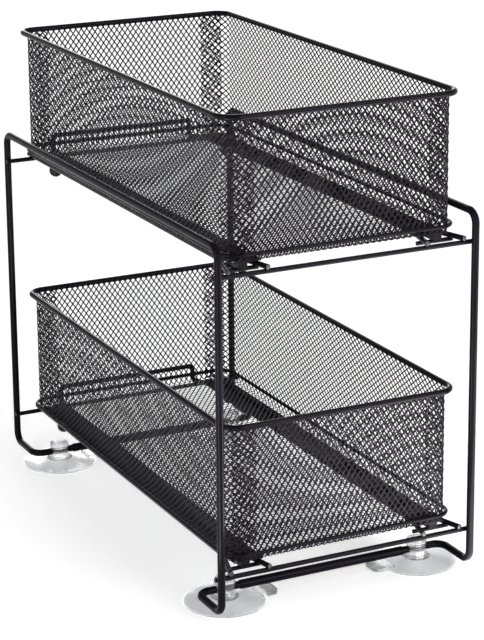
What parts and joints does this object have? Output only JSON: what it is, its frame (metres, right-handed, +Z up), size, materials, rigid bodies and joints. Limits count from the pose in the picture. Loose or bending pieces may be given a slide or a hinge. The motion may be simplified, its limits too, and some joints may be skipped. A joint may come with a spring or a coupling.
{
  "type": "sliding basket cabinet rack",
  "caption": "Tall open wire rack on suction cups, with an upper and a lower diamond-mesh basket that each slide out forwards on paired wire rails.",
  "frame": {"origin": "centre of the footprint on the surface the cups stand on", "axes": "+X to the right seen from the front, +Y from the front to the back, +Z up; the baskets slide out towards -Y"},
  "size_m": [0.2234, 0.4076, 0.3682],
  "materials": {
    "coated_wire": "semi-gloss black coating on steel wire",
    "coated_mesh": "satin black coating on steel mesh",
    "runner_sheet": "satin black coating on pressed sheet steel",
    "stop_button": "matte black moulded plastic",
    "clear_pvc": "clear soft moulded plastic"
  },
  "bodies": {
    "frame": {"left_side_frame": "coated_wire", "right_side_frame": "coated_wire", "front_joining_tube": "coated_wire", "rear_joining_tube": "coated_wire", "upper_front_cross_wire": "coated_wire", "upper_rear_cross_wire": "coated_wire", "upper_inner_rail": "coated_wire", "upper_left_outer_rail": "coated_wire", "upper_right_outer_rail": "coated_wire", "upper_left_tie_bar": "coated_wire", "upper_right_tie_bar": "coated_wire", "lower_front_cross_wire": "coated_wire", "lower_rear_cross_wire": "coated_wire", "lower_inner_rail": "coated_wire", "lower_left_outer_rail": "coated_wire", "lower_right_outer_rail": "coated_wire", "lower_left_tie_bar": "coated_wire", "lower_right_tie_bar": "coated_wire", "front_left_cup": "clear_pvc", "front_right_cup": "clear_pvc", "rear_left_cup": "clear_pvc", "rear_right_cup": "clear_pvc"},
    "upper_basket": {"upper_rim": "coated_wire", "upper_bottom_ring": "coated_wire", "upper_front_mesh": "coated_mesh", "upper_back_mesh": "coated_mesh", "upper_left_mesh": "coated_mesh", "upper_right_mesh": "coated_mesh", "upper_mesh_corners": "coated_mesh", "upper_floor_mesh": "coated_mesh", "upper_left_runner": "runner_sheet", "upper_right_runner": "runner_sheet", "upper_left_stop": "stop_button", "upper_right_stop": "stop_button"},
    "lower_basket": {"lower_rim": "coated_wire", "lower_bottom_ring": "coated_wire", "lower_front_mesh": "coated_mesh", "lower_back_mesh": "coated_mesh", "lower_left_mesh": "coated_mesh", "lower_right_mesh": "coated_mesh", "lower_mesh_corners": "coated_mesh", "lower_floor_mesh": "coated_mesh", "lower_left_runner": "runner_sheet", "lower_right_runner": "runner_sheet", "lower_left_stop": "stop_button", "lower_right_stop": "stop_button"}
  },
  "joints": [
    {"name": "upper_slide", "type": "slide", "parent": "frame", "child": "upper_basket", "axis": [0, -1, 0], "range_m": [-0.005, 0.332]},
    {"name": "lower_slide", "type": "slide", "parent": "frame", "child": "lower_basket", "axis": [0, -1, 0], "range_m": [-0.005, 0.332]}
  ]
}
